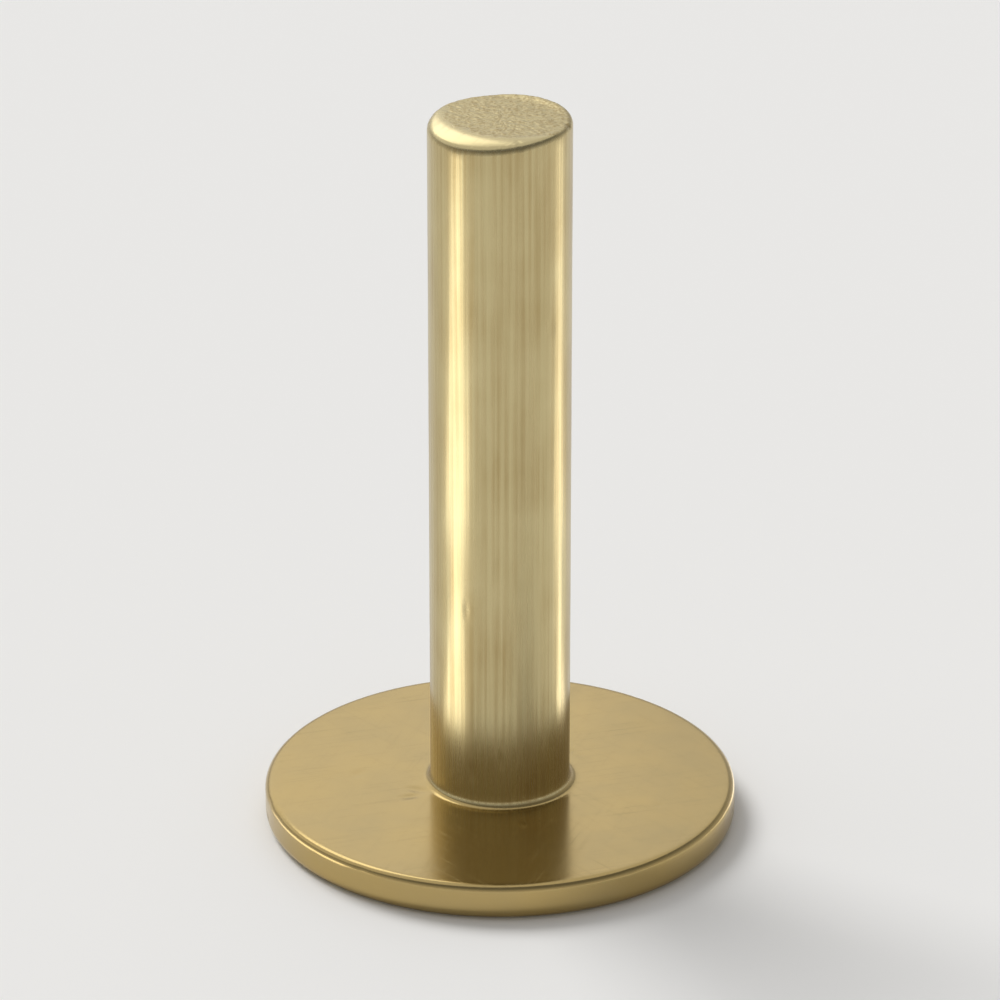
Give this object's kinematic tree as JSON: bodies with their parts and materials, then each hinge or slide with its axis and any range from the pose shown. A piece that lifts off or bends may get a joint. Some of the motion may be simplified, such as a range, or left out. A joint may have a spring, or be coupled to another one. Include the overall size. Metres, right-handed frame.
{
  "type": "solid rivet",
  "caption": "Brass solid rivet with a thin flat round head and a plain straight shank with a cropped end, set by hammering the shank end over a burr washer.",
  "frame": {"origin": "centre of the head's outer face, on the surface that the rivet stands on", "axes": "+Z along the rivet's axis, from the head towards the shank's cropped end; X and Y are equal, because the rivet is round"},
  "size_m": [0.0126, 0.0126, 0.02],
  "materials": {
    "brass": "satin"
  },
  "bodies": {
    "root": {"rivet": "brass"}
  },
  "joints": []
}
